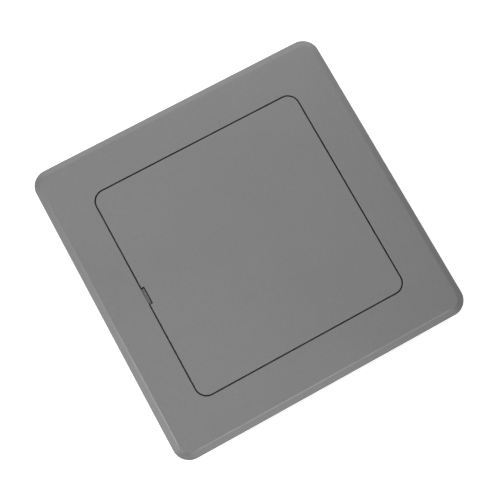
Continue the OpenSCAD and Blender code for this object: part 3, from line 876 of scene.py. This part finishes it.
def make_frame():
    obj = frame_shell()
    brace_x = (HALF_OPEN + REBATE_WALL + HALF_COLLAR_IN) / 2
    brace_l = HALF_COLLAR_IN - HALF_OPEN - REBATE_WALL
    braces = grown("braces", brace_tree(), GREY_MOULDING,
                   Size=(brace_l + 2 * OVERLAP, BRACE_T, BRACE_H + OVERLAP),
                   Place=(brace_x, 0, WALL_Z + (OVERLAP - BRACE_H) / 2), Spread=BRACE_SPREAD)
    for tool in (frame_additions(), braces, frame_bosses()):
        boolean(obj, tool, "UNION")
    boolean(obj, frame_cuts(), "DIFFERENCE")
    return finish_piece(obj, "frame_body", GREY_MOULDING, ["frame"])


# ---------------------------------------------------------------- lid
def make_lid():
    bm = bmesh.new()
    inner = HALF_LID - LID_INSET
    inner_r = LID_R - LID_INSET
    rings = filleted([(inner, inner_r, LID_BACK, 0.1 * MM), (HALF_LID, LID_R, LID_BACK, 0.15 * MM),
                      (HALF_LID, LID_R, FACE_Z, 0.12 * MM), (inner, inner_r, FACE_Z, 0.1 * MM)])
    skin(bm, [ring(*r) for r in rings[FILLET_STEPS + 3:-FILLET_STEPS - 3]])
    obj = solid("hatch_lid", bm)

    bm = bmesh.new()
    for side in (-1, 1):
        half = ARM_W / 2 + PAD_EDGE
        block(bm, (side * HINGE_X - half, FOOT_START, FOOT_TOP),
              (side * HINGE_X + half, FOOT_START + FOOT_L, LID_BACK + OVERLAP), FINE_EDGE)
        for edge in (-1, 1):
            place = Matrix.Translation((side * CATCH_X + edge * STAKE_X, CATCH_Y, 0))
            head = LID_BACK - STRIKE_T
            turned(bm, [(0, head - 0.6 * MM), (STAKE_HEAD_R * 0.6, head - 0.55 * MM),
                        (STAKE_HEAD_R, head - 0.25 * MM), (STAKE_HEAD_R, head), (STAKE_R, head),
                        (STAKE_R, LID_BACK + OVERLAP), (0, LID_BACK + OVERLAP)], place)
    boolean(obj, solid("lid_additions", bm), "UNION")

    bm = bmesh.new()
    block(bm, (-NOTCH_W / 2, -HALF_LID - CLEAR, LID_BACK - CLEAR),
          (NOTCH_W / 2, -HALF_LID + NOTCH_DEPTH, FACE_Z + CLEAR), 0.3 * MM)
    slant = FACE_Z - LID_LAND - LID_BACK
    wedge = [(HALF_LID + CLEAR, LID_BACK + slant + CLEAR), (HALF_LID + CLEAR, LID_BACK - CLEAR),
             (HALF_LID - slant - CLEAR, LID_BACK - CLEAR)]
    skin(bm, [[(x, y, z) for y, z in wedge] for x in (-HALF_LID - CLEAR, HALF_LID + CLEAR)])
    boolean(obj, solid("lid_cuts", bm), "DIFFERENCE")
    return finish_piece(obj, "lid_body", GREY_MOULDING, ["lid"])


def make_lid_ribs():
    """Ribs both ways across the lid's back, rooted in it by a share of their depth, and ejector marks."""
    rib_x = HALF_OPEN - 16.25 * MM
    low_y = housing_high.y + 3 * MM
    high_y = FOOT_START - 2 * MM
    middle_y = (low_y + high_y) / 2
    tree = rib_tree()
    sets = []
    for name, spread, length, depth, turn in (
            ("lid_ribs", 2 * rib_x, high_y - low_y, RIB_H, 0),
            ("cross_ribs", high_y - low_y, 2 * rib_x + 1.1 * RIB_T, RIB_H - 0.3 * MM, math.pi / 2)):
        ribs = grown(name, tree, GREY_MOULDING, Count=RIB_ROWS, Spread=spread, Length=length, Thickness=RIB_T,
                     Depth=depth * (1 + RIB_ROOT))
        middle = Matrix.Translation((0, middle_y, LID_BACK - depth * (1 - RIB_ROOT) / 2))
        ribs.data.transform(middle @ Matrix.Rotation(turn, 4, "Z"))
        sets.append(bevelled(ribs, 0.15 * MM))
    ribs, cross_ribs = sets
    boolean(ribs, cross_ribs, "UNION")
    finish_piece(ribs, "lid_body", GREY_MOULDING)
    marks = grown("lid_ejector_marks", mark_tree(), GREY_MOULDING, Spread=MARK_SPREAD, Columns=4, Rows=4,
                  Radius=MARK_R, Depth=0.3 * MM, Middle=(0, middle_y, LID_BACK))
    finish_piece(marks, "lid_body", GREY_MOULDING)


# ---------------------------------------------------------------- seal
def make_seal():
    height = seal_high.z - seal_low.z
    obj = grown("foam_seal", foam_bead_tree(), BLACK_FOAM, Side=seal_high.x * 2 - SEAL_W, Corner=SEAL_R,
                Width=SEAL_W, Height=height, Round=SEAL_ROUND, Middle=(0, 0, LEDGE_Z + height / 2),
                Unevenness=FOAM_RIPPLE)
    finish_piece(obj, "frame_body", BLACK_FOAM, ["lid_seal"], angle=60)


# ---------------------------------------------------------------- small pieces
def softened(node, name, body, material, edge, angle=32):
    """A piece in a CAD node's shape, with its sharp edges rounded."""
    obj = bevelled(solid(name, flattened(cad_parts[node].data)), edge, angle)
    return finish_piece(obj, body, material, [node], angle=40)


def pan_screw(length):
    """One small screw, its seat at z = 0 and its shank down."""
    bm = bmesh.new()
    dome = [(SCREW_HEAD_R * math.cos(a), SCREW_HEAD_H * (0.45 + 0.55 * math.sin(a)))
            for a in (math.pi / 2 * k / 6 for k in range(6))]
    turned(bm, [(0, -length), (0.3 * MM, -length), (SCREW_R, SCREW_R - length), (SCREW_R, 0),
                (SCREW_HEAD_R - 0.1 * MM, 0), *dome, (0, SCREW_HEAD_H)])
    recess = crossed(SCREW_HEAD_H * 0.45, SCREW_HEAD_H + CLEAR, SCREW_HEAD_R * 0.55)
    return boolean(solid("pan_screw", bm), recess, "DIFFERENCE")


def make_small_screws():
    tree = screw_pair_tree()
    screw = pan_screw(CATCH_SCREW_L)
    catch = grown("catch_screw_set", tree, ZINC_STEEL, Screw=screw, Middle=(0, CATCH_Y, SHELF_Z + EAR_T),
                  Between=(2 * CATCH_X, 0, 0), Within=(2 * CATCH_HOLE_X, 0, 0), Turn=(0, 0, 0.4))
    bpy.data.objects.remove(screw)
    finish_piece(catch, "frame_body", ZINC_STEEL, ["catch_screws"])
    screw = pan_screw(ARM_SCREW_L)
    arm = grown("hinge_arm_screw_set", tree, ZINC_STEEL, Screw=screw, Middle=(0, FOOT_HOLES_Y, FOOT_UNDER),
                Between=(2 * HINGE_X, 0, 0), Within=(0, FOOT_HOLE_SPREAD, 0), Turn=(math.pi, 0, 0.3))
    bpy.data.objects.remove(screw)
    finish_piece(arm, "lid_body", ZINC_STEEL, ["hinge_arm_screws"])


def make_clamp_screws():
    cone = CLAMP_HEAD_R - CLAMP_R
    shank = grown("clamp_screw", thread_tree(), ZINC_STEEL, Radius=CLAMP_R, Depth=THREAD_DEPTH,
                  Pitch=THREAD_PITCH, Low=CLAMP_TIP_Z, High=CLIP_Z + 0.1 * MM, Top=CLIP_Z - OVERLAP)
    bm = bmesh.new()
    groove = CLAMP_R - 0.35 * MM
    turned(bm, [(0, CLIP_Z - OVERLAP), (groove, CLIP_Z - OVERLAP), (groove, CLIP_Z + CLIP_T),
                (CLAMP_R, CLIP_Z + CLIP_T), (CLAMP_R, LEDGE_Z - cone), (CLAMP_HEAD_R, LEDGE_Z - 0.1 * MM),
                (CLAMP_HEAD_R - 0.1 * MM, LEDGE_Z), (0, LEDGE_Z)])
    boolean(shank, solid("clamp_head", bm), "UNION")
    boolean(shank, crossed(LEDGE_Z - 1 * MM, LEDGE_Z + CLEAR, CLAMP_HEAD_R * 0.6), "DIFFERENCE")
    for corner, place in zip(CLAMPS, clamp_matrices()):
        obj = linked("threaded_screw_" + corner, shank.data.copy())
        obj.data.transform(place)
        finish_piece(obj, "screw_" + corner, ZINC_STEEL, ["clamp_screw_" + corner])
    bpy.data.objects.remove(shank)


# Pieces in their CAD nodes' shapes, a left and a right of each: node, name, body, slot, finish, edge
PAIRED = (
    ("hinge_arm_", "gooseneck_arm_", "lid_body", "arm_moulding", DARK_MOULDING, 0.3 * MM),
    ("hinge_pin_", "headed_pin_", "frame_body", "zinc_steel", ZINC_STEEL, 0.15 * MM),
    ("catch_housing_", "catch_body_", "frame_body", "catch_moulding", WHITE_MOULDING, 0.3 * MM),
    ("catch_magnet_", "ferrite_bar_", "frame_body", "ferrite", BLACK_FERRITE, 0.15 * MM),
    ("pole_plates_", "pole_pair_", "frame_body", "zinc_steel", ZINC_STEEL, 0.12 * MM),
    ("strike_plate_", "strike_", "lid_body", "zinc_steel", ZINC_STEEL, 0.12 * MM),
)


def make_softened_pieces():
    for corner in CLAMPS:
        softened("clamp_claw_" + corner, "claw_moulding_" + corner, "claw_" + corner,
                 DARK_MOULDING, 0.35 * MM)
        softened("clamp_clip_" + corner, "screw_clip_" + corner, "screw_" + corner, ZINC_STEEL,
                 0.08 * MM)
    for side in ("left", "right"):
        for node, name, body, slot, material, edge in PAIRED:
            softened(node + side, name + side, body, material, edge)


# ---------------------------------------------------------------- studio
# The floor glows more far away, so that it fades into the white background: (distance, strength)
GLOW_NEAR = (0.25, 0.58)
GLOW_FAR = (0.8, 1.0)


def make_floor():
    bm = bmesh.new()
    bmesh.ops.create_grid(bm, x_segments=8, y_segments=8, size=4)
    floor = solid("floor", bm)
    floor.data.transform(Matrix.Translation((0, 0, -0.05 * MM)))
    f = Finish("pale_floor", Roughness=0.9, Emission_Color=(1, 1, 1, 1))
    f.tinted((0.85, 0.85, 0.85), f.spread(f.noise(3, 2), 0.99, 1.01))
    away = add(f.tree, "ShaderNodeVectorMath", {0: f.place}, operation="LENGTH").outputs["Value"]
    glow = f.span(away, GLOW_NEAR[0], GLOW_FAR[0], GLOW_NEAR[1], GLOW_FAR[1])
    f.tree.links.new(glow, f.shader.inputs["Emission Strength"])
    floor.data.materials.append(f.material)


# Softboxes: name, azimuth from +X towards +Y, elevation, distance, width, height, power in watts
STUDIO = (
    ("left_bank", 180, 22, 0.8, 0.45, 0.4, 1.16),
    ("near_back", 120, 20, 0.4, 0.2, 0.15, 0.11),
    ("near_back_left", 140, 20, 0.4, 0.2, 0.15, 0.22),
    ("near_high_left", 150, 42, 0.4, 0.2, 0.15, 0.20),
    ("front", -90, 45, 0.8, 0.45, 0.4, 3.29),
    ("right", 0, 45, 0.8, 0.45, 0.4, 2.34),
    ("overhead_strip", 180, 66, 0.8, 0.3, 0.15, 0.33),
    ("overhead", 0, 89, 0.8, 0.4, 0.4, 0.60),
)


def softbox(name, azimuth, elevation, distance, width, height, power):
    """An area light that faces the hatch."""
    light = bpy.data.lights.new(name, "AREA")
    light.shape = "RECTANGLE"
    light.size, light.size_y, light.energy = width, height, power
    obj = bpy.data.objects.new(name, light)
    scene.collection.objects.link(obj)
    a, e = math.radians(azimuth), math.radians(elevation)
    towards = Vector((math.cos(a) * math.cos(e), math.sin(a) * math.cos(e), math.sin(e)))
    obj.location = Vector((0, 0, FACE_Z)) + towards * distance
    obj.rotation_euler = towards.to_track_quat("Z", "Y").to_euler()


def make_world(zenith, horizon):
    world = bpy.data.worlds.new("studio")
    scene.world = world
    world.use_nodes = True
    tree = world.node_tree
    tree.nodes.clear()
    direction = add(tree, "ShaderNodeTexCoord").outputs["Generated"]
    height = add(tree, "ShaderNodeSeparateXYZ", {0: direction}).outputs["Z"]
    blend = add(tree, "ShaderNodeMapRange", {0: height, 1: 0.0, 2: 1.0, 3: horizon, 4: zenith})
    light = add(tree, "ShaderNodeBackground", {"Color": (1, 1, 1, 1), "Strength": blend.outputs[0]})
    add(tree, "ShaderNodeOutputWorld", {"Surface": light.outputs[0]})


def make_camera():
    """Above the face, leaning towards +X and -Y, with the picture turned on the face."""
    tilt, side, turn = math.radians(12.084), math.radians(-38.0), math.radians(151.095)
    distance = 0.6171
    aim = Vector((4.25 * MM, -1.36 * MM, FACE_Z))
    back = Vector((math.sin(tilt) * math.cos(side), math.sin(tilt) * math.sin(side), math.cos(tilt)))
    up = Vector((math.cos(turn), math.sin(turn), 0))
    up = (up - up.dot(back) * back).normalized()
    right = up.cross(back)
    camera = bpy.data.cameras.new("camera")
    camera.lens = 86.4
    camera.sensor_width = 36
    camera.clip_start = 0.01
    obj = bpy.data.objects.new("camera", camera)
    scene.collection.objects.link(obj)
    turned_axes = Matrix((right, up, back)).transposed().to_4x4()
    obj.matrix_world = Matrix.Translation(aim + back * distance) @ turned_axes
    scene.camera = obj


make_frame()
make_lid()
make_lid_ribs()
make_seal()
make_small_screws()
make_clamp_screws()
make_softened_pieces()
make_floor()
make_world(zenith=0.04, horizon=0.06)
for softbox_values in STUDIO:
    softbox(*softbox_values)
make_camera()
scene.view_settings.view_transform = "Standard"
